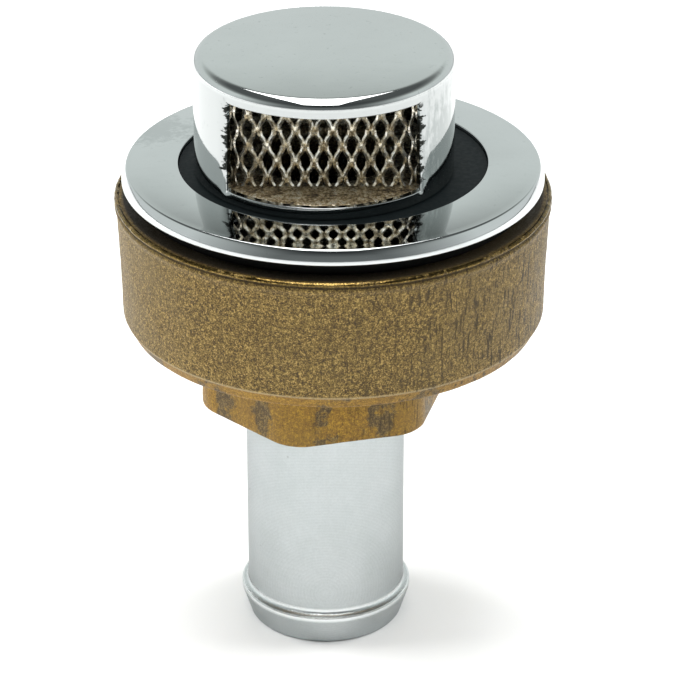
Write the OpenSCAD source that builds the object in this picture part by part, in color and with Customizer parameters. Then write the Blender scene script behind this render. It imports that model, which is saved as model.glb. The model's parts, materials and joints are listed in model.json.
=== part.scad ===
// Skin fitting vent for a tank: a drum head with a screened window stands on a
// loose ring, and a cast cup nut on its threaded shank clamps the hull.
// The origin is under the centre of the ring, level with the end of the hose tail.

/* [Head] */
// How far the head reaches over the ring's hole, all round
head_cover = 1.8; // [1:0.1:6]
// Height of the drum cap
head_h = 14.9; // [13.5:0.1:20]
// Wall of the drum cap
cap_wall = 0.8; // [0.5:0.1:1.2]
// Top plate of the drum cap
cap_top = 1; // [0.6:0.1:2]
// Radius of the cap's top edge
cap_edge_r = 1.2; // [1.2:0.1:2]
// Angle of the window, seen from above
window_angle = 94; // [60:1:110]
// Height of the window's lower lip, which is also the floor of the chamber
window_lip = 1.5; // [1:0.1:3]
// Metal left above the window, up to the cap's top
window_top = 2.5; // [1.5:0.1:8]

/* [Flame screen] */
// Distance of the flat panel behind the cap's inner wall
screen_inset = 5.5; // [2:0.1:8]
// How far each wing runs back from the flat panel to the cap's wall
wing_run = 3.3; // [1:0.1:5]
// Thickness of the expanded sheet
screen_t = 0.5; // [0.4:0.1:0.8]
// Width of one diamond cell
cell_w = 2.16; // [1.8:0.01:3]
// Height of one row of cells, half a diamond
row_h = 1.96; // [1.5:0.01:3]
// Width of the strands between the cells
strand_w = 0.45; // [0.3:0.05:0.7]

/* [Ring and seals] */
// How far the ring's edge stays inside the nut's rim
ring_inset = 1; // [0:0.1:3]
// Thickness of the ring
ring_t = 2.15; // [1.8:0.05:4]
// Radius of the ring's outer edges
ring_edge_r = 0.5; // [0.2:0.1:0.8]
// Room round the head in the recess of the ring's top
recess_room = 3; // [1.6:0.1:5]
// Depth of the recess above the head seal
recess_depth = 0.45; // [0.3:0.05:1]
// Clearance of the ring's hole round the shank
hole_room = 1.5; // [0.1:0.05:2]
// Thickness of the head seal
head_seal_t = 1; // [0.6:0.1:1.2]
// How far the hull gasket reaches out over the nut's rim
gasket_reach = 2.8; // [1:0.1:4]
// Thickness of the hull gasket
gasket_t = 1.75; // [1:0.05:4]

/* [Shank and nut] */
// Outside diameter of the shank's thread
thread_d = 24; // [18:0.5:30]
// Pitch of the thread
thread_pitch = 1.5; // [1:0.25:2]
// Depth of the thread
thread_depth = 0.92; // [0.5:0.01:1.2]
// Wall of the shank between its thread and the tail's socket
shank_wall = 1.4; // [1:0.1:3]
// Outside diameter of the nut at its rim
nut_d = 52; // [44:0.5:70]
// Height of the whole nut
nut_h = 26.3; // [22:0.1:34]
// Wall of the nut's cup, at the rim
cup_wall = 5.5; // [2:0.1:7]
// Thickness of the cup's floor
cup_floor_t = 4; // [3:0.5:6]
// Distance of the cast cup's centre from its own thread
cast_offset = 1.45; // [0:0.05:1.5]
// Wall of the nut between its thread and the hexagon's flats
hex_wall = 1.5; // [1:0.1:5]
// Height of the hexagon
hex_h = 10; // [6:0.5:14]
// Radius of the hexagon's corners
hex_corner_r = 5.4; // [2:0.1:8]
// Turn of the hexagon about its axis
hex_turn = 15; // [0:1:59]

/* [Hose tail] */
// Length of the hose tail below the nut
tail_out = 30.1; // [24:0.1:60]
// Wall of the hose tail round the vent passage
tail_wall = 1.65; // [1:0.05:4]
// Height of the hose bead over the tail's outside
bead_h = 0.8; // [0.5:0.1:1.5]
// Height of the bead's crest above the tail's end
bead_z = 3.9; // [3:0.1:8]
// Height of the bead's hollow back
bead_back = 0.6; // [0.4:0.1:2]
// How much thinner the tail's end is than its outside, all round
end_step = 0.25; // [0:0.05:1]
// Depth of the tail's socket in the shank
socket_depth = 14; // [8:0.5:18]

/* [Clearances] */
// Radial running clearance of the nut and the ring on the shank
run_gap = 0.05; // [0.02:0.01:0.1]
// Gap at the faces where the parts turn on each other
face_gap = 0.05; // [0.02:0.01:0.2]
// Gap of pieces that are soldered or pushed into each other
seat_gap = 0.03; // [0.01:0.01:0.1]

/* [Hidden] */
$fn = 96;
eps = 0.01;

// Widths, from the thread outwards and inwards
ring_hole_d = thread_d + 2 * hole_room;
head_d = ring_hole_d + 2 * head_cover;
recess_d = head_d + 2 * recess_room;
hex_af = thread_d + 2 * hex_wall;
tail_d = thread_d - 2 * (thread_depth + shank_wall + seat_gap);
bead_d = tail_d + 2 * bead_h;
tail_end_d = tail_d - 2 * end_step;
vent_bore_d = tail_d - 2 * tail_wall;

// Widths, from the nut inwards
ring_d = nut_d - 2 * ring_inset;
cup_bore_d = nut_d - 2 * cup_wall;
gasket_d = cup_bore_d + 2 * gasket_reach;

// Heights, from the end of the hose tail upwards
rim_z = tail_out + nut_h;
gasket_z = rim_z + face_gap;
ring_z = gasket_z + gasket_t;
ring_top = ring_z + ring_t;
seal_top = ring_top - recess_depth;
head_z = seal_top + face_gap;
floor_z = head_z + window_lip;
ceiling_z = head_z + head_h - cap_top;
window_h = head_h - window_lip - window_top;

// The ring and the cup stand off the shank's axis towards rest_dir
rest_dir = 45;
ring_play = (ring_hole_d - thread_d) / 2 - run_gap;
axis_at = -ring_play * [cos(rest_dir), sin(rest_dir)];
cup_at = axis_at + cast_offset * [cos(rest_dir), sin(rest_dir)];

// Flame screen: the arc that its wings end at, and half its flat panel
screen_r = head_d / 2 - cap_wall - 2 * seat_gap - screen_t / 2;
screen_y = head_d / 2 - cap_wall - screen_inset;
screen_flat = sqrt(screen_r * screen_r - (screen_y - wing_run) * (screen_y - wing_run)) - wing_run;

// Shank, its thread and the tail's socket
shank_recess = 1;
shank_z = tail_out + shank_recess;
socket_top = shank_z + socket_depth;
thread_turns = floor((head_z - shank_z - 2 * thread_pitch) / thread_pitch);

// Nut
cup_z = tail_out + hex_h;
cup_floor_z = cup_z + cup_floor_t;
rim_lip_h = 1.6;
rim_lip = 0.4;
cup_draft = 0.4;
band_h = 1.3;
band_w = 0.9;
cup_fillet = 2;

// Moves a shape from the shank's axis to its place
module on_axis() translate([axis_at[0], axis_at[1], 0]) children();

// Drum cap: a drawn cup with its open end down and a window in its front
module head_cap() {
    r = head_d / 2;
    inner_r = cap_edge_r - cap_wall;
    module shell() {
        difference() {
            union() {
                square([r - cap_edge_r, head_h]);
                square([r, head_h - cap_edge_r]);
                translate([r - cap_edge_r, head_h - cap_edge_r]) circle(cap_edge_r);
            }
            translate([-eps, -eps]) square([r - cap_wall + eps, head_h - cap_top - inner_r + eps]);
            translate([-eps, -eps]) square([r - cap_wall - inner_r + eps, head_h - cap_top + eps]);
            if (inner_r > 0)
                translate([r - cap_wall - inner_r, head_h - cap_top - inner_r]) circle(inner_r);
            translate([-2 * r, -eps]) square([2 * r, 2 * head_h]);
        }
    }
    color("gainsboro") on_axis() translate([0, 0, head_z]) difference() {
        rotate_extrude() shell();
        translate([0, 0, window_lip]) linear_extrude(window_h) window_sector();
    }
}

// The wedge that the window takes out of the cap, as wide as its angle
module window_sector() {
    reach = head_d;
    half = window_angle / 2;
    polygon([[0, 0], [-reach * sin(half), -reach * cos(half)], [0, -reach],
             [reach * sin(half), -reach * cos(half)]]);
}

// Shank: the threaded body, whose top disc is the floor of the head's chamber
module shank_body() {
    disc_r = head_d / 2 - cap_wall - seat_gap;
    r = thread_d / 2;
    root = r - thread_depth;
    lead = thread_pitch / 2;
    crests = [for (i = [0 : thread_turns - 1], p = thread_points(i)) p];
    profile = concat([[tail_d / 2 + seat_gap, shank_z], [root, shank_z]], crests,
                     [[root, thread_end()], [r, thread_end() + lead], [r, head_z],
                      [disc_r, head_z], [disc_r, floor_z], [vent_bore_d / 2, floor_z],
                      [vent_bore_d / 2, socket_top], [tail_d / 2 + seat_gap, socket_top]]);
    color("darkgoldenrod") on_axis() rotate_extrude() polygon(profile);
}

// One turn of the thread as a ring: up the flank, along the crest and down again
function thread_points(i) =
    let (z = shank_z + 0.5 + i * thread_pitch, flank = thread_pitch * 5 / 16)
    [[thread_d / 2 - thread_depth, z], [thread_d / 2, z + flank],
     [thread_d / 2, z + flank + thread_pitch / 8],
     [thread_d / 2 - thread_depth, z + 2 * flank + thread_pitch / 8]];
function thread_end() = shank_z + 0.5 + thread_turns * thread_pitch;

// Flame screen: a flat panel of expanded sheet with a wing bent back at each end
module flame_screen() {
    border = strand_w;
    h = ceiling_z - floor_z - 2 * seat_gap;
    // the wings run back at 45 degrees until they meet the cap's wall
    wing_l = wing_run * sqrt(2);
    module pierced(width, from) {
        difference() {
            square([width, h]);
            intersection() {
                translate([border, border]) square([width - 2 * border, h - 2 * border]);
                cells(width, h, from);
            }
        }
    }
    color("darkkhaki") on_axis() translate([0, 0, floor_z + seat_gap]) {
        translate([-screen_flat, -screen_y + screen_t, 0])
            rotate([90, 0, 0]) linear_extrude(screen_t) pierced(2 * screen_flat, 0);
        for (side = [0, 1]) mirror([side, 0, 0])
            translate([screen_flat - screen_t * sin(45), -screen_y + screen_t * sin(45), 0])
                rotate([0, 0, 45]) rotate([90, 0, 0]) linear_extrude(screen_t)
                    pierced(wing_l, screen_flat);
    }
}

// Rows of diamonds that leave strands between them
module cells(width, h, from) {
    side = sqrt(cell_w * cell_w / 4 + row_h * row_h);
    shrink = 1 - strand_w * side / (cell_w * row_h);
    a = cell_w / 2 * shrink;
    b = row_h * shrink;
    for (row = [0 : ceil(h / row_h)], col = [0 : ceil(width / cell_w)])
        translate([(col + (row % 2) / 2) * cell_w, row * row_h])
            polygon([[a, 0], [0, b], [-a, 0], [0, -b]]);
}

// Head seal: the rubber washer in the ring's recess, which the head stands on
module head_seal() {
    color("black") translate([0, 0, seal_top - head_seal_t]) difference() {
        cylinder(h = head_seal_t, d = recess_d - 2 * seat_gap);
        translate([0, 0, -eps]) cylinder(h = head_seal_t + 2 * eps, d = ring_hole_d);
    }
}

// Loose ring between the head and the hull
module flange_ring() {
    r = ring_d / 2;
    module section() {
        translate([0, ring_edge_r]) square([r, ring_t - 2 * ring_edge_r]);
        square([r - ring_edge_r, ring_t]);
        for (z = [ring_edge_r, ring_t - ring_edge_r]) translate([r - ring_edge_r, z])
            circle(ring_edge_r);
    }
    color("silver") translate([0, 0, ring_z]) difference() {
        rotate_extrude() intersection() {
            section();
            square([r, ring_t]);
        }
        translate([0, 0, -eps]) cylinder(h = ring_t + 2 * eps, d = ring_hole_d);
        translate([0, 0, ring_t - recess_depth - head_seal_t - seat_gap])
            cylinder(h = ring_t, d = recess_d);
    }
}

// Hull gasket: the rubber washer under the ring, which seals on the hull
module hull_gasket() {
    color("black") translate([0, 0, gasket_z]) difference() {
        cylinder(h = gasket_t, d = gasket_d);
        translate([0, 0, -eps]) cylinder(h = gasket_t + 2 * eps, d = ring_hole_d);
    }
}

// Cup nut: a sand cast cup that bears on the hull with its rim, over a hexagon
module cup_nut() {
    r = nut_d / 2;
    body_r = r - rim_lip;
    low_r = body_r - cup_draft;
    module outside() polygon([
        [0, cup_z], [low_r - band_w, cup_z], [low_r, cup_z + band_h],
        [body_r, rim_z - rim_lip_h], [r, rim_z - rim_lip_h / 2], [r, rim_z - rim_lip],
        [r - rim_lip, rim_z], [0, rim_z]]);
    module inside() {
        depth = rim_z - cup_floor_z;
        translate([0, cup_floor_z + cup_fillet]) square([cup_bore_d / 2, depth]);
        translate([0, cup_floor_z]) square([cup_bore_d / 2 - cup_fillet, depth]);
        translate([cup_bore_d / 2 - cup_fillet, cup_floor_z + cup_fillet]) circle(cup_fillet);
    }
    color("peru") difference() {
        union() {
            translate([cup_at[0], cup_at[1], 0]) rotate_extrude() outside();
            on_axis() translate([0, 0, tail_out]) linear_extrude(hex_h + 1) hexagon();
        }
        translate([cup_at[0], cup_at[1], 0]) rotate_extrude() inside();
        on_axis() translate([0, 0, tail_out - 1])
            cylinder(h = nut_h, d = thread_d + 2 * run_gap);
    }
}

// Hexagon with round corners: its flats pushed out from a smaller hexagon
module hexagon() {
    corner = (hex_af / 2 - hex_corner_r) / cos(30);
    function spot(turn, r) = r * [sin(turn), -cos(turn)];
    polygon([for (k = [0 : 5], side = [-30, 30])
        spot(hex_turn + 30 + 60 * k, corner) + spot(hex_turn + 30 + 60 * k + side, hex_corner_r)]);
    for (k = [0 : 5]) translate(spot(hex_turn + 30 + 60 * k, corner)) circle(hex_corner_r);
}

// Hose tail: a turned tube, soldered into the shank, with a bead for the hose
module hose_tail() {
    r = tail_d / 2;
    crest = bead_d / 2;
    back_steps = 6;
    // the bead's back is a hollow quarter curve from the crest down to the tube
    back = [for (i = [1 : back_steps]) let (a = 90 * i / back_steps)
        [crest - (crest - r) * sin(a), bead_z + bead_back * (1 - cos(a))]];
    profile = concat([[vent_bore_d / 2, 0], [tail_end_d / 2, 0], [crest, bead_z - 0.6],
                      [crest, bead_z]], back,
                     [[r, socket_top - seat_gap], [vent_bore_d / 2, socket_top - seat_gap]]);
    color("lightsteelblue") on_axis() rotate_extrude() polygon(profile);
}

head_cap();
shank_body();
flame_screen();
head_seal();
flange_ring();
hull_gasket();
cup_nut();
hose_tail();
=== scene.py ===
# %% [markdown]
# # A tank vent, finished in Blender
# The object is a skin fitting vent for a boat's tank. A chromed drum head with a screened
# window stands on a chromed ring. Below the ring are a black gasket, a sand cast cup nut and
# a hose tail in satin chrome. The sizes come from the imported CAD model, which is loaded
# first. Every piece made here stands for one CAD node and rides on the body of that node.
# Lengths are written in millimetres, as a turner would, and made metres when a mesh is built.

# %% Load the frame
import json
import math

import bmesh
import bpy
import numpy as np
from mathutils import Matrix, Vector, noise

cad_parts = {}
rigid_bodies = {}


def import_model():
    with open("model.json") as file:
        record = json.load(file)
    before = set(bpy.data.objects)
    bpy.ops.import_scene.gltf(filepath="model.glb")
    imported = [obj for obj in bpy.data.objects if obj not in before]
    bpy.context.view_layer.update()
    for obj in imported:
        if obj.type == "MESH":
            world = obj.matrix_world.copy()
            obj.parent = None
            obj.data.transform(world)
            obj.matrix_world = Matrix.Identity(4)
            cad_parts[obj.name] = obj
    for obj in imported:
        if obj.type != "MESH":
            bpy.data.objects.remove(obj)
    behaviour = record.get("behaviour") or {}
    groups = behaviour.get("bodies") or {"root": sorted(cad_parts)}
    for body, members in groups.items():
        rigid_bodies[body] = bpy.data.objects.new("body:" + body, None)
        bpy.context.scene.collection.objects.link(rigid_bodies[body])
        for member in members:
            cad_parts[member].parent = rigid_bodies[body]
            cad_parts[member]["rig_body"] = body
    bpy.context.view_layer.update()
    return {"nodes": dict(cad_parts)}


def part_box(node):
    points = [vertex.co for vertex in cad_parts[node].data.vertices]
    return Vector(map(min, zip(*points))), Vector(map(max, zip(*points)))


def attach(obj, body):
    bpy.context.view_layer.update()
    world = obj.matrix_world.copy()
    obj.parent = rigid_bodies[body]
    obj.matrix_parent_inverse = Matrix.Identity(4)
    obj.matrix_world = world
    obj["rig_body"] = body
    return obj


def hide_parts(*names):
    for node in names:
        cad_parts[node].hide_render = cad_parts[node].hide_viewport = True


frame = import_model()
scene = bpy.context.scene
MM = 0.001

# %% [markdown]
# ## Sizes that several pieces share
# The shank, the head and the hose tail share one axis. Sizes that a mesh and its finish share,
# such as where the window ends and its broken plating begins, are written here once.

# %% Axis and heights
def span(node):
    low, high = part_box(node)
    return low / MM, high / MM


head_low, head_high = span("head_cap")
ring_low, ring_high = span("flange_ring")
seal_low, seal_high = span("head_seal")
gasket_low, gasket_high = span("hull_gasket")
nut_low, nut_high = span("cup_nut")
tail_low, tail_high = span("hose_tail")
shank_low, shank_high = span("shank_body")
AXIS = ((head_low.x + head_high.x) / 2, (head_low.y + head_high.y) / 2)
CENTRE = (0.0, 0.0)
HEAD_R = (head_high.x - head_low.x) / 2
print("axis of the shank: %.3f, %.3f mm; head radius %.2f mm" % (*AXIS, HEAD_R))

# %% Shared sizes
PLAY = 0.03                          # room between two parts that fit together
TAIL_R, TAIL_BORE_R, BEAD_Z = 9.65, 8.0, 3.9
WINDOW_HALF = 47                     # degrees from the front to each end of the window
WINDOW_LOW = head_low.z + 1.5        # a lip is left below the window
WINDOW_HIGH = WINDOW_LOW + 10.9
WINDOW_MIDDLE = (WINDOW_LOW + WINDOW_HIGH) / 2
DRUM_WALL, DRUM_EDGE = 0.8, 1.2      # sheet thickness, and the radius of the top's edge
STEP_Z = nut_low.z + 10              # top of the hexagon, where the cup begins
CHAMFER_Z = STEP_Z + 1.62            # top of the cup's lower chamfer
HEX_TURN = 15                        # degrees from the front to the middle of a flat
print("window from %.2f to %.2f mm, cup from %.2f mm up" % (WINDOW_LOW, WINDOW_HIGH, STEP_Z))

# %% [markdown]
# ## The camera
# The view looks down on the fitting by 27 degrees from 0.4 m away, with a long lens. The
# camera is set by the point that it looks at and by its own three directions.

# %% Camera
ELEVATION, DISTANCE = math.radians(27.04), 0.4031
target = Vector((2.0, 0, tail_high.z - 9.98)) * MM
forward = Vector((0, math.cos(ELEVATION), -math.sin(ELEVATION)))
right, up = Vector((1, 0, 0)), Vector((0, math.sin(ELEVATION), math.cos(ELEVATION)))
camera = bpy.data.objects.new("camera", bpy.data.cameras.new("camera"))
camera.data.lens, camera.data.sensor_width = 170.63, 36
camera.data.clip_start = 0.01
camera.matrix_world = Matrix.Translation(target - forward * DISTANCE) @ Matrix(
    (right, up, -forward)).transposed().to_4x4()
scene.collection.objects.link(camera)
scene.camera = camera
scene.view_settings.view_transform = "Standard"
print("camera at", [round(v, 4) for v in camera.location])

# %% [markdown]
# ## Nodes in short
# A material is a small net of nodes. `add` puts one node in the net, sets its inputs by name
# and joins any input that is given as another node's output. The helpers after it are the
# moves that the finishes repeat: sums, ramps, soft steps, blends, grain, specks and bump. With
# them a finish is short enough to read as a recipe.

# %% Node helpers
def put(tree, socket, value):
    """Joins the socket to another node's output, or sets it to a constant."""
    if isinstance(value, bpy.types.NodeSocket):
        tree.links.new(value, socket)
    else:
        socket.default_value = value


def add(tree, kind, inputs=None, **settings):
    made = tree.nodes.new(kind)
    for name, value in settings.items():
        setattr(made, name, value)
    for name, value in (inputs or {}).items():
        put(tree, made.inputs[name], value)
    return made


def arithmetic(tree):
    """m = arithmetic(tree); then m("ADD", a, b) is a Math node's output."""
    def m(operation, *values):
        made = add(tree, "ShaderNodeMath", operation=operation)
        for socket, value in zip(made.inputs, values):
            put(tree, socket, value)
        return made.outputs[0]
    return m


def split(tree, vector):
    return add(tree, "ShaderNodeSeparateXYZ", inputs={"Vector": vector}).outputs


def ramp(tree, factor, stops):
    """A colour ramp: stops are (place, grey or colour)."""
    made = add(tree, "ShaderNodeValToRGB", inputs={"Fac": factor})
    marks = made.color_ramp.elements
    while len(marks) < len(stops):
        marks.new(0.5)
    for mark, (place, shade) in zip(marks, stops):
        mark.position = place
        shade = (shade,) * 3 if isinstance(shade, (int, float)) else shade
        mark.color = (*shade, 1)
    return made.outputs["Color"]


def step(tree, value, start, stop, low=0.0, high=1.0, **settings):
    """Goes from low to high while value goes from start to stop."""
    return add(tree, "ShaderNodeMapRange", inputs={
        "Value": value, "From Min": start, "From Max": stop, "To Min": low, "To Max": high},
        **settings).outputs["Result"]


def band(tree, value, middle, start, stop, low=0.0, high=1.0, **settings):
    """The same by distance from a middle: a stripe round the middle where start > stop."""
    m = arithmetic(tree)
    return step(tree, m("ABSOLUTE", m("SUBTRACT", value, middle)), start, stop, low, high, **settings)


def blend(tree, factor, first, second, kind="MIX"):
    """first where factor is 0 and second where it is 1; colours, or numbers for greys."""
    made = add(tree, "ShaderNodeMix", data_type="RGBA", blend_type=kind)
    put(tree, made.inputs[0], factor)
    for socket, value in ((made.inputs[6], first), (made.inputs[7], second)):
        value = (value,) * 3 if isinstance(value, (int, float)) else value
        put(tree, socket, (*value, 1) if isinstance(value, tuple) else value)
    return made.outputs[2]


print("node helpers ready")

# %% Pattern helpers
def finish(name, **constants):
    """A new material with its shader; constants go on the shader's own sockets."""
    made = bpy.data.materials.new(name)
    made.use_nodes = True
    shader = made.node_tree.nodes["Principled BSDF"]
    for socket, value in constants.items():
        socket = socket.replace("_", " ")
        shader.inputs[socket].default_value = (*value, 1) if isinstance(value, tuple) else value
    return made, made.node_tree, shader


def place(tree, scale=(1, 1, 1), move=(0, 0, 0)):
    """Object coordinates, in metres, moved and stretched for a pattern."""
    where = add(tree, "ShaderNodeTexCoord")
    return add(tree, "ShaderNodeMapping", inputs={
        "Vector": where.outputs["Object"], "Location": move, "Scale": scale}).outputs["Vector"]


def about_axis(tree):
    """The same, measured from the axis of the shank."""
    return place(tree, move=(-AXIS[0] * MM, -AXIS[1] * MM, 0))


def grain(tree, where, scale, detail=4.0, rough=0.5):
    return add(tree, "ShaderNodeTexNoise", inputs={
        "Vector": where, "Scale": scale, "Detail": detail, "Roughness": rough}).outputs["Fac"]


def specks(tree, where, scale, channel, size, share):
    """Small round spots, one to a cell, kept only where the cell's random colour is high."""
    cells = add(tree, "ShaderNodeTexVoronoi", inputs={"Vector": where, "Scale": scale})
    lot = add(tree, "ShaderNodeSeparateColor", inputs={"Color": cells.outputs["Color"]})
    return arithmetic(tree)("MULTIPLY",
                            ramp(tree, cells.outputs["Distance"], [(size[0], 1.0), (size[1], 0.0)]),
                            ramp(tree, lot.outputs[channel], [(share[0], 0.0), (share[1], 1.0)]))


def bump(tree, shader, height, distance, strength=1.0, under=None):
    made = add(tree, "ShaderNodeBump", inputs={"Height": height, "Distance": distance,
                                               "Strength": strength})
    if under is not None:
        tree.links.new(under, made.inputs["Normal"])
    tree.links.new(made.outputs["Normal"], shader.inputs["Normal"])
    return made.outputs["Normal"]


print("pattern helpers ready")

# %% [markdown]
# ## The studio
# Chrome shows the room more than itself. The room here is plain: a pale wall behind, a wide
# soft light overhead, a dim space behind the viewer and a white floor. The wall gives the
# level tops their light grey, the overhead light gives the white strip on the drum's round
# edge, and the dim space draws the thin dark lines beside it. Two fills at the sides light the
# brass and the floor and are hidden from mirrors, so that the chrome shows one lamp only.

# %% Room
world = bpy.data.worlds.new("room")
world.use_nodes = True
scene.world = world
room = world.node_tree
m = arithmetic(room)
facing = split(room, add(room, "ShaderNodeTexCoord").outputs["Generated"])
height = m("MULTIPLY", m("ARCSINE", facing["Z"]), 2 / math.pi)
wall = ramp(room, height, [(0.0, (0.81, 0.855, 0.855)), (0.262, (0.79, 0.85, 0.833)),
                           (0.29, (0.70, 0.755, 0.737)), (0.34, (0.50, 0.54, 0.524)),
                           (0.40, (0.25, 0.27, 0.264)), (0.50, (0.11, 0.12, 0.12))])
dim = ramp(room, height, [(0.0, (0.20, 0.215, 0.215)), (0.20, (0.17, 0.185, 0.185)),
                          (0.33, (0.035, 0.04, 0.042))])
behind = step(room, facing["Y"], -0.86, -0.15)
background = room.nodes["Background"]
room.links.new(blend(room, behind, dim, wall), background.inputs["Color"])
background.inputs["Strength"].default_value = 1.0


def softbox(name, where, size, power, aim):
    light = bpy.data.lights.new(name, "AREA")
    light.shape, light.size, light.size_y, light.energy = "RECTANGLE", *size, power
    lamp = bpy.data.objects.new(name, light)
    lamp.location = where
    lamp.rotation_euler = (Vector(aim) - Vector(where)).to_track_quat("-Z", "Y").to_euler()
    scene.collection.objects.link(lamp)
    return lamp


softbox("overhead", (-0.03, 0.03, 0.72), (0.38, 1.20), 6.0, (-0.03, 0.03, 0.0))
for side, power in ((-1, 8.4), (1, 8.0)):
    fill = softbox("fill %+d" % side, (0.90 * side, 0.20, 0.55), (0.6, 0.5), power, (0.0, 0.0, 0.01))
    fill.visible_glossy = False
print("room and three soft lights ready")

# %% Floor
def mesh_piece(name, points, faces, material=None, smooth=True):
    mesh = bpy.data.meshes.new(name)
    mesh.from_pydata([tuple(p) for p in points], [], faces)
    mesh.validate()
    if material:
        mesh.materials.append(material)
    mesh.polygons.foreach_set("use_smooth", [smooth] * len(mesh.polygons))
    made = bpy.data.objects.new(name, mesh)
    scene.collection.objects.link(made)
    return made


white, tree, shader = finish("floor_paper", Base_Color=(0.97, 0.97, 0.965), Roughness=0.9)
bump(tree, shader, grain(tree, place(tree), 900), 0.00002)
FLOOR_R, FLOOR_CORNERS = 2.4, 96
around = [(FLOOR_R * math.cos(a), FLOOR_R * math.sin(a), -0.0001)
          for a in np.linspace(0, 2 * math.pi, FLOOR_CORNERS, False)]
floor = mesh_piece("floor", around, [tuple(range(FLOOR_CORNERS))], white, smooth=False)
print("floor ready")

# %% [markdown]
# ## Finish: polished chrome
# Chrome plate is a hard, slightly blue mirror. A perfect mirror looks like a drawing, so the
# plate gets what handling leaves: a haze that comes and goes, hairline wipes that run in all
# directions, a dull smear from a hand, which on the drum's right is also painted shade, and a
# few specks of dust. The drum's upright wall is painted darker than its top as painted shade,
# and dark hooks beside the punched window are a painted reflection of the screen in the cut edge.

# %% Polished chrome: the drum's painted shade and painted reflection, and a smear
def wall_painted_shade(tree, colour, tint):
    """Painted shade: the upright wall below the drum's rounded edge is darkened for the dimmer light that
    it reflects.
    """
    wall_top = (head_high.z - DRUM_EDGE) * MM
    film = step(tree, split(tree, place(tree))["Z"], wall_top, wall_top - 0.0006)
    return blend(tree, film, colour, tuple(c * 0.80 for c in tint))


def smear_and_shade(tree, colour, middle, size, strength):
    # a dark smear; on the drum, right of the window, it is partly a real smear and partly painted shade of
    # that side
    m = arithmetic(tree)
    far = add(tree, "ShaderNodeVectorMath", operation="DISTANCE", inputs={0: place(tree), 1: middle})
    near = step(tree, far.outputs["Value"], size, 0.0, 0.0, 0.5)
    patch = m("ADD", near, grain(tree, place(tree, (1, 1, 0.4)), 1300, 4, 0.7))
    patch = ramp(tree, patch, [(0.62, 0.0), (0.84, 1.0)])
    return blend(tree, m("MULTIPLY", patch, strength), colour, (0.24, 0.265, 0.26))


def painted_edge_reflection(tree, colour):
    """Painted reflection: dark hooks that run a little way from the window's two upright edges, for the
    screen reflected in the cut edge.
    """
    m = arithmetic(tree)
    axes = split(tree, about_axis(tree))
    turn = m("ABSOLUTE", m("ARCTAN2", axes["X"], m("MULTIPLY", axes["Y"], -1.0)))
    edge = math.radians(WINDOW_HALF)
    off = step(tree, turn, edge, edge + 0.09, 0.30, 0.0)
    tall = band(tree, axes["Z"], WINDOW_MIDDLE * MM, 0.0050, 0.0055, 1.0, 0.0)
    break_up = m("ADD", off, grain(tree, place(tree, (1, 1, 3.0)), 520, 4, 0.7))
    reflected_hooks = m("MULTIPLY", ramp(tree, break_up, [(0.72, 0.0), (0.76, 1.0)]), tall)
    return blend(tree, reflected_hooks, colour, (0.020, 0.022, 0.020))


# film is painted shade on the drum's wall, the smear is partly painted shade, and broken plating is a
# painted reflection at the window
print("film, smear and broken plating ready")

# %% Polished chrome
def chrome_finish(name, tint, seed, haze, smear_and_shade_spot, on_drum=False):
    made, tree, shader = finish(name, Metallic=1.0)
    m = arithmetic(tree)
    spot = place(tree, move=(seed, seed * 0.7, 0))
    cloud = grain(tree, spot, 90, 3, 0.55)
    wipes = grain(tree, place(tree, (40, 900, 900), (seed, 0, 0)), 1.2, 3, 0.7)
    across = grain(tree, place(tree, (800, 60, 500), (seed, 0, 0)), 1.1, 3, 0.7)
    dust = specks(tree, spot, 260.0, "Red", (0.0, 0.055), (0.80, 0.84))
    colour = blend(tree, ramp(tree, cloud, [(0.35, 0.0), (0.75, 1.0)]), tint,
                   tuple(c * 0.94 for c in tint))
    colour = blend(tree, m("MULTIPLY", dust, 0.5), colour, (0.25, 0.25, 0.24))
    # on the drum: painted shade on the wall, then the smear, partly painted shade, then painted reflection
    # at the window
    if on_drum:
        colour = wall_painted_shade(tree, colour, tint)
    colour = smear_and_shade(tree, colour, *smear_and_shade_spot)
    if on_drum:
        colour = painted_edge_reflection(tree, colour)
    tree.links.new(colour, shader.inputs["Base Color"])
    film = step(tree, cloud, 0.35, 0.75, 0.03, haze)
    lines = m("MULTIPLY", ramp(tree, wipes, [(0.56, 0.0), (0.66, 1.0)]), 0.05)
    dull = m("ADD", m("ADD", film, lines), m("MULTIPLY", dust, 0.4))
    tree.links.new(dull, shader.inputs["Roughness"])
    fine = bump(tree, shader, m("ADD", wipes, across), 0.000002, 0.35)
    bump(tree, shader, cloud, 0.00006, 0.25, under=fine)
    return made


# a smear is (middle, size in metres, strength)
# the drum's smear sits right of the window and is partly painted shade of that side
drum_smear_and_shade = ((0.0135, -0.0075, WINDOW_MIDDLE * MM - 0.001), 0.0095, 0.6)
ring_smear = ((-0.0215, 0.0095, ring_high.z * MM), 0.007, 0.3)
drum_chrome = chrome_finish("polished_chrome", (0.622, 0.644, 0.64), 0.013, 0.10, drum_smear_and_shade, True)
ring_chrome = chrome_finish("ring_chrome", (0.631, 0.653, 0.653), 0.137, 0.08, ring_smear)
print("polished chrome ready")
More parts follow.
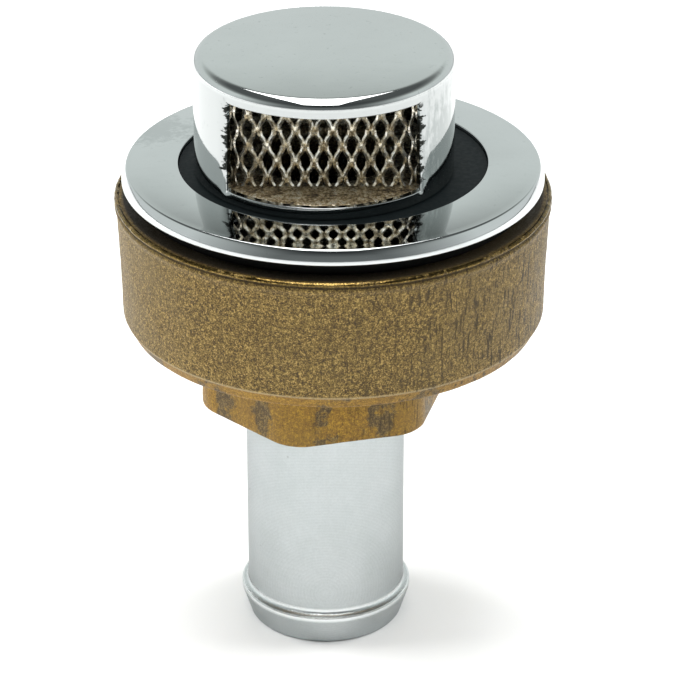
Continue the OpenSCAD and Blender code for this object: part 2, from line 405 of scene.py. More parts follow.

# %% [markdown]
# ## Finish: satin chrome on the hose tail
# The tail was turned and then plated without much polishing. Fine rings go round it, a belt
# has left faint arcs across them, and a few dark pinholes show. Only the hollow back of the
# bead is polished: it is smoother than the rest, and its colour is lightened as a painted
# highlight.

# %% Satin chrome
def satin_finish():
    made, tree, shader = finish("satin_chrome", Metallic=1.0, Specular_Tint=(0.55, 0.55, 0.55))
    m = arithmetic(tree)
    spot = place(tree)
    rings = add(tree, "ShaderNodeTexWave", wave_type="BANDS", bands_direction="Z", inputs={
        "Vector": spot, "Scale": 480.0, "Distortion": 1.5, "Detail": 2.0, "Detail Scale": 60.0})
    arcs = add(tree, "ShaderNodeTexWave", wave_type="RINGS", rings_direction="SPHERICAL", inputs={
        "Vector": place(tree, move=(0.0010, 0.0112, -0.0070)), "Scale": 780.0,
        "Distortion": 5.0, "Detail": 3.0, "Detail Scale": 90.0}).outputs["Fac"]
    cloud = grain(tree, spot, 160, 5, 0.6)
    holes = specks(tree, spot, 330.0, "Green", (0.0, 0.07), (0.60, 0.64))
    polish_and_highlight = band(tree, split(tree, spot)["Z"], (BEAD_Z + 0.2) * MM, 0.0008, 0.0005)
    colour = blend(tree, ramp(tree, cloud, [(0.3, 0.0), (0.7, 1.0)]),
                   (0.49, 0.525, 0.525), (0.57, 0.60, 0.605))
    lines = m("ADD", m("MULTIPLY", arcs, 0.22), m("MULTIPLY", grain(tree, spot, 4200, 2, 0.6), 0.9))
    colour = blend(tree, 1.0, colour, ramp(tree, lines, [(0.35, 0.90), (0.80, 1.0)]), "MULTIPLY")
    # painted highlight: the bead's hollow back is lightened; its lower roughness below is real polish
    colour = blend(tree, polish_and_highlight, colour, (0.80, 0.83, 0.83))
    tree.links.new(blend(tree, holes, colour, (0.16, 0.16, 0.15)), shader.inputs["Base Color"])
    dull = step(tree, cloud, 0.3, 0.7, 0.30, 0.40)
    tree.links.new(blend(tree, polish_and_highlight, dull, 0.08), shader.inputs["Roughness"])
    first = bump(tree, shader, rings.outputs["Fac"], 0.000012, 0.5)
    second = bump(tree, shader, arcs, 0.000010, 0.5, under=first)
    bump(tree, shader, cloud, 0.00003, 0.4, under=second)
    return made


satin_chrome = satin_finish()
print("satin chrome ready")

# %% [markdown]
# ## Finish: sand cast brass
# The nut is left as it came out of the sand: pitted, brown in the pits and gold where
# handling has rubbed the grains, with upright cracks on one side. Below the cup, the step and
# the hexagon have been dressed and are a smoother orange gold, with rough dark patches left
# near the ends of each flat, and a light line along the top of the chamfer is a painted
# highlight. The right side is painted darker as shade. At the rim are a groove painted dark as
# shade, a burr worn smooth, and a ledge painted dark as the shade under the ring.

# %% Cast brass: patches and rim
def dark_patches(tree, axes, broad):
    """1 near the ends of each flat of the hexagon, with an edge broken up by grain."""
    m = arithmetic(tree)
    turn = m("ARCTAN2", axes["Y"], axes["X"])
    sixth = m("ADD", m("MULTIPLY", turn, 6.0), math.radians(-6 * (HEX_TURN - 90) - 180))
    ends = m("MULTIPLY", m("COSINE", m("MULTIPLY", sixth, 2.0)), -0.55)
    corners = m("MULTIPLY", m("COSINE", sixth), -0.35)
    patch = m("ADD", m("ADD", ends, corners), m("MULTIPLY", broad, 3.2))
    return ramp(tree, m("MULTIPLY", patch, 0.4), [(0.76, 0.0), (0.86, 1.0)])


def rim_parts(tree, axes, broad):
    """Two masks at the height of the rim: the ledge inside, painted dark as the shade under the ring, and
    the burr outside.
    """
    m = arithmetic(tree)
    flat = split(tree, place(tree))
    reach = m("SQRT", m("ADD", m("POWER", flat["X"], 2.0), m("POWER", flat["Y"], 2.0)))
    top = step(tree, axes["Z"], (nut_high.z - 0.42) * MM, (nut_high.z - 0.22) * MM)
    shaded_ledge = m("MULTIPLY", top, step(tree, reach, 0.0253, 0.0248))
    burr = m("MULTIPLY", m("MULTIPLY", top, step(tree, reach, 0.0252, 0.0254)),
             ramp(tree, broad, [(0.34, 0.35), (0.46, 1.0)]))
    return shaded_ledge, burr


print("patches and rim ready")

# %% Cast brass
def cast_finish():
    made, tree, shader = finish("cast_brass")
    m = arithmetic(tree)
    spot = about_axis(tree)
    axes = split(tree, spot)
    broad = grain(tree, spot, 480, 3, 0.6)
    grit = m("ADD", m("MULTIPLY", grain(tree, spot, 6500, 2, 0.6), 0.6),
             m("MULTIPLY", grain(tree, spot, 2600, 3, 0.6), 0.4))
    rough_cast = ramp(tree, grit, [(0.41, (0.045, 0.027, 0.008)), (0.47, (0.150, 0.096, 0.028)),
                                   (0.53, (0.225, 0.147, 0.042)), (0.60, (0.52, 0.36, 0.120))])
    dressed = ramp(tree, grit, [(0.38, (0.17, 0.084, 0.012)), (0.50, (0.285, 0.155, 0.020)),
                                (0.62, (0.46, 0.275, 0.045))])
    scorched = ramp(tree, grit, [(0.38, (0.045, 0.028, 0.012)), (0.50, (0.115, 0.074, 0.030)),
                                 (0.62, (0.30, 0.205, 0.075))])
    dressed = blend(tree, dark_patches(tree, axes, broad), dressed, scorched)
    below = step(tree, axes["Z"], CHAMFER_Z * MM, (CHAMFER_Z - 0.20) * MM)
    drift = ramp(tree, grain(tree, spot, 70, 3, 0.5), [(0.4, 0.0), (0.7, 0.35)])
    # painted shade: the groove below the burr is darkened
    groove_shade = band(tree, axes["Z"], (nut_high.z - 0.50) * MM, 0.00018, 0.00006, 0.0, 0.8,
                  interpolation_type="SMOOTHSTEP")
    # painted highlight: a light line along the top of the cup's lower chamfer
    chamfer_highlight = band(tree, axes["Z"], CHAMFER_Z * MM, 0.00024, 0.00005, 0.0, 0.7,
                  interpolation_type="SMOOTHSTEP")
    shaded_ledge, burr = rim_parts(tree, axes, broad)
    # painted shade: this mask darkens the nut's right side, and it also places the cracks
    side = step(tree, axes["X"], -0.004, 0.022, 0.15, 0.95)
    streak = grain(tree, place(tree, (1, 1, 0.13)), 2600, 3, 0.62)
    crack = m("MULTIPLY", ramp(tree, streak, [(0.55, 0.0), (0.60, 1.0)]), side)
    colour = blend(tree, below, rough_cast, dressed)
    for mask, layer in ((drift, (0.20, 0.145, 0.060)), (groove_shade, (0.030, 0.020, 0.008)),
                        (chamfer_highlight, (0.46, 0.36, 0.19)), (shaded_ledge, (0.012, 0.009, 0.005)),
                        (m("MULTIPLY", side, 0.32), (0.085, 0.062, 0.028)),
                        (crack, (0.030, 0.021, 0.010))):
        colour = blend(tree, mask, colour, layer)
    tree.links.new(colour, shader.inputs["Base Color"])
    # the shaded ledge is also made non-metallic, as part of its painted shade
    shine = m("MAXIMUM", ramp(tree, grit, [(0.42, 0.35), (0.62, 0.85)]), burr)
    tree.links.new(m("MULTIPLY", shine, m("SUBTRACT", 1.0, shaded_ledge)), shader.inputs["Metallic"])
    dull = blend(tree, burr, step(tree, grit, 0.4, 0.65, 0.62, 0.42), 0.20)
    tree.links.new(dull, shader.inputs["Roughness"])
    calm = m("MAXIMUM", m("MULTIPLY", below, 0.55), m("MULTIPLY", burr, 0.96))
    first = bump(tree, shader, blend(tree, calm, grit, 0.5), 0.00022, 0.7)
    bump(tree, shader, crack, 0.00008, -0.6, under=first)
    return made


cast_brass = cast_finish()
print("cast brass ready")

# %% [markdown]
# ## Finishes: bare brass, screen metal and rubber
# The shank is bare brass gone brown. Its top is the floor of the chamber, where lint and
# grains catch the light. The screen is cut sheet with bright edges. The two seals are black
# rubber with dust on them.

# %% Bare brass, screen metal, rubber
def tarnished_finish():
    made, tree, shader = finish("tarnished_brass")
    m = arithmetic(tree)
    spot = place(tree)
    mixed = m("ADD", m("MULTIPLY", grain(tree, spot, 3000, 3, 0.7), 0.5),
              m("MULTIPLY", grain(tree, spot, 650, 3, 0.65), 0.5))
    tree.links.new(ramp(tree, mixed, [(0.40, (0.030, 0.022, 0.012)), (0.48, (0.22, 0.165, 0.090)),
                                      (0.54, (0.48, 0.39, 0.24)), (0.60, (1.0, 0.95, 0.80))]),
                   shader.inputs["Base Color"])
    tree.links.new(ramp(tree, mixed, [(0.40, 0.25), (0.58, 0.9)]), shader.inputs["Metallic"])
    tree.links.new(ramp(tree, mixed, [(0.40, 0.62), (0.60, 0.25)]), shader.inputs["Roughness"])
    bump(tree, shader, mixed, 0.00016, 0.8)
    return made


def screen_finish():
    made, tree, shader = finish("screen_metal", Metallic=0.88)
    fine = grain(tree, place(tree), 1300, 4, 0.65)
    tree.links.new(ramp(tree, fine, [(0.34, (0.26, 0.20, 0.12)), (0.47, (0.74, 0.66, 0.50)),
                                     (0.58, (1.0, 0.97, 0.88))]), shader.inputs["Base Color"])
    tree.links.new(ramp(tree, fine, [(0.38, 0.32), (0.60, 0.17)]), shader.inputs["Roughness"])
    bump(tree, shader, fine, 0.00007, 0.7)
    return made


def rubber_finish(name, dusty, dark, light, gloss):
    made, tree, shader = finish(name, Specular_IOR_Level=gloss)
    spot = place(tree)
    fine = grain(tree, spot, 1400, 4, 0.6)
    dust = specks(tree, spot, 520.0, "Blue", (0.05, 0.16), (1.0 - dusty, 1.02 - dusty))
    colour = blend(tree, fine, dark, light)
    tree.links.new(blend(tree, dust, colour, (0.42, 0.45, 0.44)), shader.inputs["Base Color"])
    tree.links.new(ramp(tree, fine, [(0.3, 0.42), (0.7, 0.62)]), shader.inputs["Roughness"])
    bump(tree, shader, fine, 0.00005, 0.5)
    return made


tarnished_brass = tarnished_finish()
screen_metal = screen_finish()
seal_rubber = rubber_finish("seal_rubber", 0.14, (0.004, 0.006, 0.0065), (0.009, 0.013, 0.014), 0.06)
gasket_rubber = rubber_finish("gasket_rubber", 0.02, (0.003, 0.003, 0.003), (0.006, 0.006, 0.006), 0.12)
print("bare brass, screen metal and rubber ready")

# %% [markdown]
# ## Turned pieces
# Most of this fitting was turned on a lathe, so most pieces are one profile swept round an
# axis. `eased` rounds each corner of a profile, because a mirror finish only looks real when
# its edges catch the light. It also sets a point just outside each rounding, which keeps the
# flat faces flat when the mesh is shaded smooth.

# %% Lathe
def eased(corners, steps=6, guard=0.04):
    """corners: (r, z, radius) in mm, as a closed profile. Returns the points of the profile."""
    points, n = [], len(corners)
    for i, (r, z, radius) in enumerate(corners):
        here = Vector((r, z))
        if radius <= 0:
            points.append(here)
            continue
        a = (Vector(corners[i - 1][:2]) - here).normalized()
        b = (Vector(corners[(i + 1) % n][:2]) - here).normalized()
        half = math.acos(max(-1, min(1, a.dot(b)))) / 2
        reach = radius / math.tan(half)
        middle = here + (a + b).normalized() * radius / math.sin(half)
        start, end = here + a * reach - middle, here + b * reach - middle
        sweep = start.angle(end)
        points.append(here + a * (reach + guard))
        for k in range(steps + 1):
            t = k / steps
            mix = (start * math.sin((1 - t) * sweep) + end * math.sin(t * sweep)) / math.sin(sweep)
            points.append(middle + mix)
        points.append(here + b * (reach + guard))
    return points


def swept(name, rings, material):
    """rings: lists of points, each list once round; the last ring joins the first again."""
    n, m = len(rings), len(rings[0])
    points = [Vector(p) * MM for ring in rings for p in ring]
    faces = [(i * m + j, i * m + (j + 1) % m, (i + 1) % n * m + (j + 1) % m, (i + 1) % n * m + j)
             for i in range(n) for j in range(m)]
    made = mesh_piece(name, points, faces, material)
    face_outwards(made)
    return made


def face_outwards(made):
    work = bmesh.new()
    work.from_mesh(made.data)
    bmesh.ops.recalc_face_normals(work, faces=work.faces)
    if work.calc_volume(signed=True) < 0:
        bmesh.ops.reverse_faces(work, faces=work.faces)
    work.to_mesh(made.data)
    work.free()


def turned(name, profile, centre, material, steps=256):
    turns = np.linspace(0, 2 * math.pi, steps, False)
    rings = [[(centre[0] + r * math.cos(a), centre[1] + r * math.sin(a), z) for a in turns]
             for r, z in profile]
    return swept(name, rings, material)


def fitted(made, node):
    """The piece stands for one CAD node: it rides on its body and hides it."""
    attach(made, frame["nodes"][node]["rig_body"])
    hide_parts(node)
    print(made.name, "stands for", node, "with", len(made.data.polygons), "faces")


print("lathe ready")

# %% [markdown]
# ## The ring, the two seals and the hose tail
# These four are plain turned rings. The ring has a recess in its top that takes the head
# seal. Its top falls a little towards the rim and its side bulges a little, which is what
# spreads the reflections on it. The hose tail has a bead near its end, with a hollow back, so
# that a hose goes on easily and doesn't come off.

# %% Ring and seals
bore_r, recess_r = 13.5, 18.3
ring_r = (ring_high.x - ring_low.x) / 2
gasket_r = (gasket_high.x - gasket_low.x) / 2
side_fall, top_fall = 0.40, 0.26
side = [(ring_r - side_fall * t ** 1.5, ring_low.z + 0.42 + 1.18 * t, 0.0)
        for t in np.linspace(0, 1, 12)]
dome = [(recess_r + t * (ring_r - 0.9 - recess_r), ring_high.z - top_fall * t * t, 0.0)
        for t in np.linspace(1, 0.12, 9)]
ring_profile = [(bore_r, ring_low.z, 0.1), (ring_r, ring_low.z, 0.28), *side,
                (ring_r - 0.56, ring_high.z - 0.27, 0.30), *dome, (recess_r, ring_high.z, 0.09),
                (recess_r, seal_low.z - PLAY, 0.05), (bore_r, seal_low.z - PLAY, 0.1)]
ring = turned("flange_ring_chrome", eased(ring_profile, 8), CENTRE, ring_chrome, 320)
fitted(ring, "flange_ring")


def washer(name, radius, low, high, rounds, material):
    corners = [(bore_r, low, 0.12), (radius, low, rounds[0]), (radius, high, rounds[1]),
               (bore_r, high, 0.12)]
    return turned(name, eased(corners, 5), CENTRE, material)


seal = washer("head_seal_rubber", recess_r - PLAY, seal_low.z, seal_high.z, (0.12, 0.16), seal_rubber)
fitted(seal, "head_seal")
gasket = washer("hull_gasket_rubber", gasket_r, gasket_low.z, gasket_high.z - 0.01, (0.2, 0.2),
                gasket_rubber)
fitted(gasket, "hull_gasket")

# %% Hose tail
crest, tip_r, bead_back, part_way = (tail_high.x - tail_low.x) / 2, 9.4, 0.6, 30.0
hollow = [(crest - (crest - TAIL_R) * math.sin(a), BEAD_Z + bead_back * (1 - math.cos(a)), 0.0)
          for a in np.linspace(0.12, math.pi / 2, 10)]
tail_profile = [(TAIL_BORE_R, 0.0, 0.25), (tip_r, 0.0, 0.2), (crest, BEAD_Z - 0.6, 0.25),
                (crest, BEAD_Z, 0.12), *hollow, (TAIL_R, BEAD_Z + bead_back + 0.3, 0.0),
                (TAIL_R, part_way, 0.0), (TAIL_R, tail_high.z, 0.15),
                (TAIL_BORE_R, tail_high.z, 0.15)]
tail = turned("hose_tail_satin", eased(tail_profile, 5), AXIS, satin_chrome)
fitted(tail, "hose_tail")

# %% [markdown]
# ## The drum head
# The head is a drawn cap: a thin wall, a flat top with a rounded edge, and a window cut in
# its front. It is swept as a closed shell, and the cells of the window are left out of both
# walls. The four cut faces join the walls, and a Bevel modifier rounds the cut, because a
# plated edge is never sharp.

# %% Drum cap
def drum_cap():
    z0, z1 = head_low.z, head_high.z
    low, middle, high, half = WINDOW_LOW, WINDOW_MIDDLE, WINDOW_HIGH, WINDOW_HALF
    r_in, ceiling = HEAD_R - DRUM_WALL, z1 - 1.0
    wall_out = [(HEAD_R - 0.12, z0), (HEAD_R - 0.035, z0 + 0.035)] + [(HEAD_R, z) for z in (
        z0 + 0.12, z0 + 0.3, low - 0.8, low - 0.4, low, middle, high, high + 0.4, high + 0.8,
        z1 - 1.3)]
    # the top is a little higher in the middle, as drawn sheet is
    crown_rise, tilt = 0.34, math.radians(3.0)
    centre_z = z1 - crown_rise - DRUM_EDGE
    top_out = [(HEAD_R - DRUM_EDGE + DRUM_EDGE * math.cos(a), centre_z + DRUM_EDGE * math.sin(a))
               for a in np.linspace(0, math.pi / 2 - tilt, 15)]
    rim_r, rim_z = top_out[-1]
    crown = [(rim_r * t, z1 - (z1 - rim_z) * t ** 2.2)
             for t in (0.985, 0.93, 0.85, 0.7, 0.55, 0.4, 0.25, 0.12, 0.0)]
    wall_in = [(r_in, z) for z in (z0, z0 + 0.3, low, middle, high, ceiling - 0.6)]
    edge_in = 0.4
    top_in = [(r_in - edge_in + edge_in * math.cos(a), ceiling - edge_in + edge_in * math.sin(a))
              for a in np.linspace(0, math.pi / 2, 5)] + [(r, ceiling) for r in (10.0, 5.0, 0.0)]
    turns = [math.radians(-90 + k) for k in range(-half, 360 - half)]
    mesh, grid = bmesh.new(), {}
    shells = {"out": wall_out + top_out + crown, "in": wall_in + top_in}
    pull, pull_run = 0.22, 1.4

    def rolled(r, z, k):
        """The punch pulled the wall in a little beside the two upright edges of the window."""
        off = min(k, 360 - k, abs(k - 2 * half)) * math.radians(1) * HEAD_R
        if r < HEAD_R - 0.01 or not low - 0.5 < z < high + 0.5 or off > pull_run:
            return r
        return r - pull * (1 - off / pull_run) ** 2 * (1.0 if low <= z <= high else 0.35)

    for side, profile in shells.items():
        for i, (r, z) in enumerate(profile):
            if r < 1e-6:
                pole = mesh.verts.new(Vector((*AXIS, z)) * MM)
            for j, a in enumerate(turns):
                away = rolled(r, z, j)
                grid[side, i, j] = pole if r < 1e-6 else mesh.verts.new(Vector(
                    (AXIS[0] + away * math.cos(a), AXIS[1] + away * math.sin(a), z)) * MM)
    count = len(turns)

    def cell(side, i, j):
        nxt = (j + 1) % count
        corners = [grid[side, i, j], grid[side, i, nxt], grid[side, i + 1, nxt], grid[side, i + 1, j]]
        corners = list(dict.fromkeys(corners))
        mesh.faces.new(corners if side == "out" else corners[::-1])

    row = {"out": wall_out.index((HEAD_R, low)), "in": wall_in.index((r_in, low))}
    for side, profile in shells.items():
        for i in range(len(profile) - 1):
            for j in range(count):
                if row[side] <= i < row[side] + 2 and j < 2 * half:
                    continue
                cell(side, i, j)
    for j in range(count):
        nxt = (j + 1) % count
        mesh.faces.new([grid["in", 0, j], grid["in", 0, nxt], grid["out", 0, nxt], grid["out", 0, j]])
    a, b = row["out"], row["in"]
    for j in range(2 * half):
        mesh.faces.new([grid["out", a, j], grid["out", a, j + 1], grid["in", b, j + 1], grid["in", b, j]])
        mesh.faces.new([grid["in", b + 2, j], grid["in", b + 2, j + 1],
                        grid["out", a + 2, j + 1], grid["out", a + 2, j]])
    for j, flip in ((0, False), (2 * half, True)):
        for k in range(2):
            loop = [grid["out", a + k, j], grid["in", b + k, j],
                    grid["in", b + k + 1, j], grid["out", a + k + 1, j]]
            mesh.faces.new(loop[::-1] if flip else loop)
    data = bpy.data.meshes.new("head_cap_chrome")
    mesh.to_mesh(data)
    mesh.free()
    data.materials.append(drum_chrome)
    made = bpy.data.objects.new("head_cap_chrome", data)
    scene.collection.objects.link(made)
    face_outwards(made)
    made.data.polygons.foreach_set("use_smooth", [True] * len(made.data.polygons))
    cut = made.modifiers.new("cut edge", "BEVEL")
    cut.width, cut.segments, cut.limit_method, cut.angle_limit = 0.38 * MM, 4, "ANGLE", math.radians(50)
    cut.harden_normals = True
    return settled(made)


def settled(made):
    """The piece with its modifiers turned into plain mesh."""
    bpy.context.view_layer.update()
    shape = bpy.data.meshes.new_from_object(
        made.evaluated_get(bpy.context.evaluated_depsgraph_get()))
    made.modifiers.clear()
    made.data = shape
    return made


cap = drum_cap()
fitted(cap, "head_cap")

# %% [markdown]
# ## The flame screen
# Expanded sheet is slit and pulled, which opens diamonds and leaves twisted strands that meet
# at knuckles. It is one pattern repeated, so it is made with Geometry Nodes: one strand pair
# is drawn as a curve, given a flat section, copied to a staggered grid of points, cut to the
# panel and bent back at both ends.

# %% Flame screen with Geometry Nodes
def group_input(tree, name, kind, value=None):
    socket = tree.interface.new_socket(name, in_out="INPUT", socket_type=kind)
    if value is not None:
        socket.default_value = value


def screen_tree():
    tree = bpy.data.node_groups.new("expanded sheet", "GeometryNodeTree")
    for name, value in (("Cell width", 2.16 * MM), ("Row height", 1.96 * MM), ("Half flat", 9.7 * MM),
                        ("Wing run", 3.2 * MM), ("Panel depth", 9.0 * MM), ("Strand", 0.54 * MM),
                        ("Sheet", 0.30 * MM), ("Foot", 0.0)):
        group_input(tree, name, "NodeSocketFloat", value)
    group_input(tree, "Rows", "NodeSocketInt", 7)
    group_input(tree, "Columns", "NodeSocketInt", 14)
    group_input(tree, "Seed", "NodeSocketInt", 4)
    group_input(tree, "Finish", "NodeSocketMaterial")
    tree.interface.new_socket("Geometry", in_out="OUTPUT", socket_type="NodeSocketGeometry")
    sizes = tree.nodes.new("NodeGroupInput").outputs
    m = arithmetic(tree)

    def vector(x, y, z):
        return add(tree, "ShaderNodeCombineXYZ", inputs={"X": x, "Y": y, "Z": z}).outputs[0]

    # one strand: it leaves a knuckle upright, crosses over and ends upright in the next one
    half_cell = m("MULTIPLY", sizes["Cell width"], 0.5)
    end_in, handle_in = m("MULTIPLY", sizes["Strand"], 0.42), m("MULTIPLY", sizes["Strand"], 0.55)
    strand = add(tree, "GeometryNodeCurvePrimitiveBezierSegment", inputs={
        "Resolution": 8, "Start": vector(end_in, 0.0, 0.0),
        "Start Handle": vector(handle_in, 0.0, m("MULTIPLY", sizes["Row height"], 0.62)),
        "End Handle": vector(m("SUBTRACT", half_cell, handle_in), 0.0,
                             m("MULTIPLY", sizes["Row height"], 0.38)),
        "End": vector(m("SUBTRACT", half_cell, end_in), 0.0, sizes["Row height"])})
    section = add(tree, "GeometryNodeCurvePrimitiveQuadrilateral", mode="RECTANGLE", inputs={
        "Width": sizes["Sheet"], "Height": sizes["Strand"]})
    turned_section = add(tree, "GeometryNodeTransform", inputs={
        "Geometry": section.outputs["Curve"], "Rotation": (0.0, 0.0, math.radians(46))})
    bar = add(tree, "GeometryNodeCurveToMesh", inputs={
        "Curve": strand.outputs["Curve"], "Profile Curve": turned_section.outputs["Geometry"],
        "Fill Caps": True})
    other = add(tree, "GeometryNodeTransform", inputs={
        "Geometry": bar.outputs["Mesh"], "Scale": (-1.0, 1.0, 1.0)})
    other = add(tree, "GeometryNodeFlipFaces", inputs={"Mesh": other.outputs["Geometry"]})
    pair = tree.nodes.new("GeometryNodeJoinGeometry")
    tree.links.new(bar.outputs["Mesh"], pair.inputs["Geometry"])
    tree.links.new(other.outputs["Mesh"], pair.inputs["Geometry"])
    # the knuckles: a grid of points, every other row moved by half a cell
    total = m("MULTIPLY", sizes["Columns"], sizes["Rows"])
    points = add(tree, "GeometryNodeMeshLine", mode="OFFSET", inputs={"Count": total, "Offset": (0, 0, 0)})
    index = tree.nodes.new("GeometryNodeInputIndex").outputs["Index"]
    row = m("FLOOR", m("DIVIDE", index, sizes["Columns"]))
    column = m("SUBTRACT", index, m("MULTIPLY", row, sizes["Columns"]))
    column = m("SUBTRACT", column, m("DIVIDE", m("SUBTRACT", sizes["Columns"], 1.0), 2.0))
    shift = m("MULTIPLY", m("MODULO", row, 2.0), 0.5)
    place_x = m("MULTIPLY", m("ADD", column, shift), sizes["Cell width"])
    place_z = m("ADD", sizes["Foot"], m("MULTIPLY", row, sizes["Row height"]))
    laid = add(tree, "GeometryNodeSetPosition", inputs={
        "Geometry": points.outputs["Mesh"], "Position": vector(place_x, 0.0, place_z)})
    jitter = add(tree, "FunctionNodeRandomValue", data_type="FLOAT_VECTOR", inputs={
        "Min": (-0.05, -0.06, -0.03), "Max": (0.05, 0.06, 0.03), "Seed": sizes["Seed"]})
    copies = add(tree, "GeometryNodeInstanceOnPoints", inputs={
        "Points": laid.outputs["Geometry"], "Instance": pair.outputs["Geometry"],
        "Rotation": jitter.outputs[0]})
    real = add(tree, "GeometryNodeRealizeInstances", inputs={"Geometry": copies.outputs["Instances"]})
    # bend: past the flat, x runs back at 45 degrees
    spot = split(tree, tree.nodes.new("GeometryNodeInputPosition").outputs["Position"])
    out_x = m("ABSOLUTE", spot["X"])
    past = m("MAXIMUM", m("SUBTRACT", out_x, sizes["Half flat"]), 0.0)
    reach = m("MULTIPLY", past, 0.7071)
    thinner = m("MULTIPLY", m("GREATER_THAN", past, 0.0), 0.29)
    thin = m("MULTIPLY", spot["Y"], m("SUBTRACT", 1.0, thinner))
    new_x = m("MULTIPLY", m("SIGN", spot["X"]), m("ADD", m("MINIMUM", out_x, sizes["Half flat"]), reach))
    new_y = m("ADD", m("SUBTRACT", thin, sizes["Panel depth"]), reach)
    bent = add(tree, "GeometryNodeSetPosition", inputs={
        "Geometry": real.outputs["Geometry"], "Position": vector(new_x, new_y, spot["Z"])})
    painted = add(tree, "GeometryNodeSetMaterial", inputs={
        "Geometry": bent.outputs["Geometry"], "Material": sizes["Finish"]})
    out = tree.nodes.new("NodeGroupOutput")
    tree.links.new(painted.outputs["Geometry"], out.inputs["Geometry"])
    return tree


def set_input(modifier, name, value):
    for item in modifier.node_group.interface.items_tree:
        if item.item_type == "SOCKET" and item.in_out == "INPUT" and item.name == name:
            modifier[item.identifier] = value


def flame_screen():
    made = mesh_piece("flame_screen_sheet", [(0, 0, 0)], [])
    grow = made.modifiers.new("expanded sheet", "NODES")
    grow.node_group = screen_tree()
    set_input(grow, "Finish", screen_metal)
    set_input(grow, "Foot", -0.9 * MM)
    settled(made)
    floor_z, ceiling_z, reach = shank_high.z + 0.05, head_high.z - 1.05, 12.95
    work = bmesh.new()
    work.from_mesh(made.data)
    for v in work.verts:
        v.co += Vector((AXIS[0], AXIS[1], floor_z)) * MM
    limits = [((0, 0, floor_z), (0, 0, -1)), ((0, 0, ceiling_z), (0, 0, 1)),
              ((AXIS[0] - reach, 0, 0), (-1, 0, 0)), ((AXIS[0] + reach, 0, 0), (1, 0, 0))]
    for spot, away in limits:
        bmesh.ops.bisect_plane(work, geom=work.verts[:] + work.edges[:] + work.faces[:],
                               plane_co=Vector(spot) * MM, plane_no=away, clear_outer=True)
        open_edges = [e for e in work.edges if e.is_boundary]
        bmesh.ops.holes_fill(work, edges=open_edges, sides=12)
    work.to_mesh(made.data)
    work.free()
    made.data.polygons.foreach_set("use_smooth", [False] * len(made.data.polygons))
    return made


screen = flame_screen()
fitted(screen, "flame_screen")

# %% [markdown]
# ## The shank
# The shank is a threaded tube with a disc on top that closes the drum from below and is the
# floor of the chamber. The thread is a rule, a radius that depends on height and turn, so it
# is drawn by that rule: each ring of points has its own radius all the way round.

# %% Shank
PITCH, THREAD_DEPTH, CREST_R = 1.5, 0.92, 12.0


def thread_radius(z, turn):
    phase = (z / PITCH - turn / (2 * math.pi)) % 1.0
    return CREST_R - THREAD_DEPTH * min(1.0, max(0.0, (abs(phase - 0.5) - 0.06) / 0.32))


def shank():
    low, top, under = shank_low.z, shank_high.z, head_low.z
    turns = np.linspace(0, 2 * math.pi, 144, False)
    start, stop, run_out = low + 0.4, under - 2.6, 0.8
    root, disc = CREST_R - THREAD_DEPTH, HEAD_R - DRUM_WALL - PLAY
    bore, socket, seat = TAIL_BORE_R + PLAY, TAIL_R + PLAY, tail_high.z + PLAY

    def around(radius, z):
        return [(AXIS[0] + radius * math.cos(a), AXIS[1] + radius * math.sin(a), z) for a in turns]

    rings = [around(r, z) for r, z in (
        (bore, seat), (socket, seat), (socket, low + 0.2), (socket + 0.2, low), (root - 0.18, low),
        (root, low + 0.2))]
    for z in np.arange(start, stop, PITCH / 9):
        fade = min(1.0, (z - start) / run_out, (stop - z) / run_out)
        rings.append([(AXIS[0] + r * math.cos(a), AXIS[1] + r * math.sin(a), z)
                      for a in turns for r in [root + fade * (thread_radius(z, a) - root)]])
    rings += [around(r, z) for r, z in (
        (root, stop + 0.2), (11.95, stop + 1.0), (11.98, stop + 1.3), (11.98, under - 0.02),
        (disc - 0.1, under), (disc, under + 0.1), (disc, top - 0.12), (disc - 0.12, top), (12.0, top),
        (10.0, top), (bore + 0.27, top), (bore, top - 0.27), (bore, top - 1.0))]
    return swept("shank_brass", rings, tarnished_brass)


fitted(shank(), "shank_body")

# %% [markdown]
# ## The cup nut
# The nut is one casting: a cup that stands on a hexagon. Its rings of points change shape as
# the profile runs on: round about the cup's centre, then six-sided about the thread, then
# round again inside. Sand leaves a skin that is never flat, so the points are pushed in and
# out by noise, less where the casting was dressed and none in the thread. The burr at the
# rim is a thin wavy lip above a shallow groove.

# %% Hexagon and sand skin
def hexagon_radius(turn, half_width=13.75, corner=4.6):
    off = (math.degrees(turn) + 90 - HEX_TURN + 30) % 60 - 30
    reach = (half_width - corner) / math.cos(math.radians(30))
    if abs(off) <= math.degrees(math.atan(reach * 0.5 / half_width)):
        return half_width / math.cos(math.radians(off))
    tip = math.radians(30 - abs(off))
    return reach * math.cos(tip) + math.sqrt(corner ** 2 - (reach * math.sin(tip)) ** 2)


def sand_skin(made, skins, burr_z):
    """Pushes each point along its normal by three sizes of noise; the burr gets one more."""
    spots = np.empty(len(made.data.vertices) * 3, np.float32)
    out = spots.copy()
    made.data.vertices.foreach_get("co", spots)
    made.data.vertex_normals.foreach_get("vector", out)
    spots, out = spots.reshape(-1, 3) / MM, out.reshape(-1, 3)
    push = np.zeros(len(spots))
    for i, (spot, skin) in enumerate(zip(spots, skins)):
        if skin:
            p = Vector(spot)
            push[i] = skin * (0.09 * noise.noise(p * 0.16)
                              + 0.05 * noise.noise(p * 0.55 + Vector((7, 3, 1)))
                              + 0.035 * noise.noise(p * 1.7 + Vector((2, 9, 4))))
            if p.z > burr_z and math.hypot(p.x, p.y) > 25.4:
                push[i] += 0.05 * noise.noise(p * 0.9)
    moved = (spots + out * push[:, None]) * MM
    made.data.vertices.foreach_set("co", moved.astype(np.float32).ravel())
    made.data.update()


flat_r, corner_r = (hexagon_radius(math.radians(HEX_TURN - 90 + a)) for a in (0, 30))
print("hexagon: %.2f mm to a flat, %.2f mm to a corner" % (flat_r, corner_r))

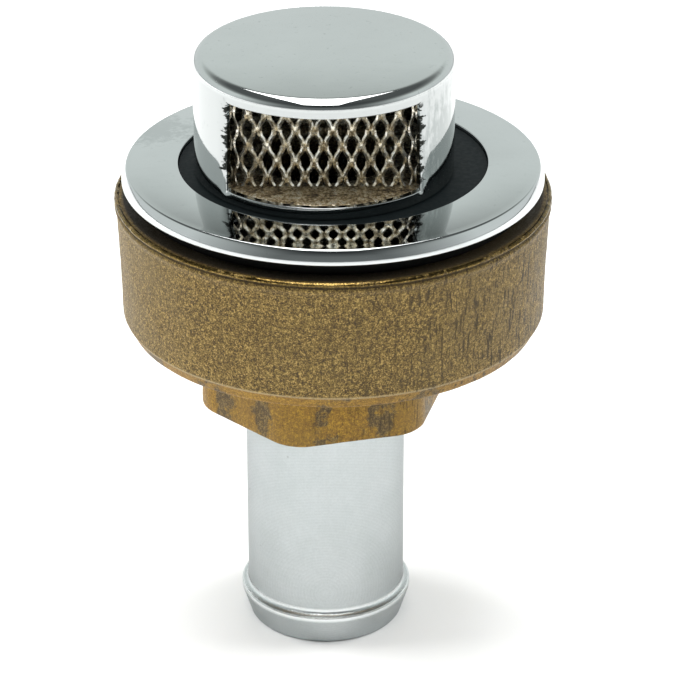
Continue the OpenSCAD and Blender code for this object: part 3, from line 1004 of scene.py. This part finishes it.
# %% Cup nut
def cup_nut():
    z0, z1, hex_top = nut_low.z, nut_high.z, STEP_Z
    thread_r, cup_in = 12.05, 20.5
    turns = np.linspace(0, 2 * math.pi, 420, False)
    rings, sand = [], []

    def ring(radius, z, skin, centre=CENTRE):
        """One ring of points; skin is how far the sand may push it."""
        rings.append([(centre[0] + radius * math.cos(a), centre[1] + radius * math.sin(a), z)
                      for a in turns])
        sand.append(skin)

    def hexagon(inset, z, skin):
        rings.append([(AXIS[0] + r * math.cos(a), AXIS[1] + r * math.sin(a), z)
                      for a in turns for r in [hexagon_radius(a) - inset]])
        sand.append(skin)

    # up the thread, out along the bottom, up the hexagon
    ring(thread_r + 0.3, hex_top + 4.0, 0.0, AXIS)
    for z in (hex_top + 3.7, hex_top, z0 + 5, z0 + 0.5):
        ring(thread_r, z, 0.0, AXIS)
    ring(12.5, z0, 0.1, AXIS)
    hexagon(0.6, z0, 0.3)
    for inset, z in ((0.35, 0.02), (0.16, 0.09), (0.04, 0.22), (0.0, 0.4)):
        hexagon(inset, z0 + z, 0.4)
    for z in np.arange(z0 + 1.2, hex_top - 0.9, 0.45):
        hexagon(0.0, z, 0.8)
    for inset, z in ((0.0, 0.75), (-0.05, 0.42), (-0.16, 0.15), (-0.4, 0.03)):
        hexagon(inset, hex_top - z, 0.6)
    # the cup's chamfered bottom, its wall, which widens a little, and the burr at its rim
    for r, z in ((20.0, 0.0), (23.8, 0.0), (24.2, 0.02), (24.38, 0.09), (24.48, 0.22), (24.62, 0.50),
                 (24.80, 0.90), (24.96, 1.25), (25.06, 1.42), (25.22, 1.55), (25.29, 1.72)):
        ring(r, hex_top + z, 0.3)
    wall = np.arange(hex_top + 2.1, z1 - 1.75, 0.42)
    for z in wall:
        ring(25.3 + 0.3 * (z - hex_top - 2.1) / (wall[-1] - hex_top - 2.1), z, 1.0)
    for r, z in ((25.64, 1.60), (25.72, 1.35), (25.86, 1.10), (25.93, 0.90), (25.90, 0.74), (25.76, 0.60),
                 (25.70, 0.48), (25.76, 0.37), (25.87, 0.26), (25.94, 0.15), (25.91, 0.05), (25.81, -0.05),
                 (25.71, -0.145), (25.62, -0.18), (25.50, -0.13), (25.40, -0.02), (25.2, 0.0)):
        ring(r, z1 - z, 0.2)
    # in along the ledge, down the inside, and round into the cup's floor
    for r in (24.0, 22.5, 21.2):
        ring(r, z1, 0.25)
    for r, z in ((0.3, 0.06), (0.1, 0.2), (0.0, 0.5), (0.0, 3.0), (0.0, 7.0), (0.0, 10.2)):
        ring(cup_in + r, z1 - z, 0.4)
    for a in (0.3, 0.7, 1.1, math.pi / 2):
        ring(cup_in - 2 + 2 * math.cos(a), hex_top + 6 - 2 * math.sin(a), 0.4)
    ring(15.5, hex_top + 4, 0.3)
    made = swept("cup_nut_casting", rings, cast_brass)
    sand_skin(made, np.repeat(sand, len(turns)), z1 - 1.3)
    return made


fitted(cup_nut(), "cup_nut")
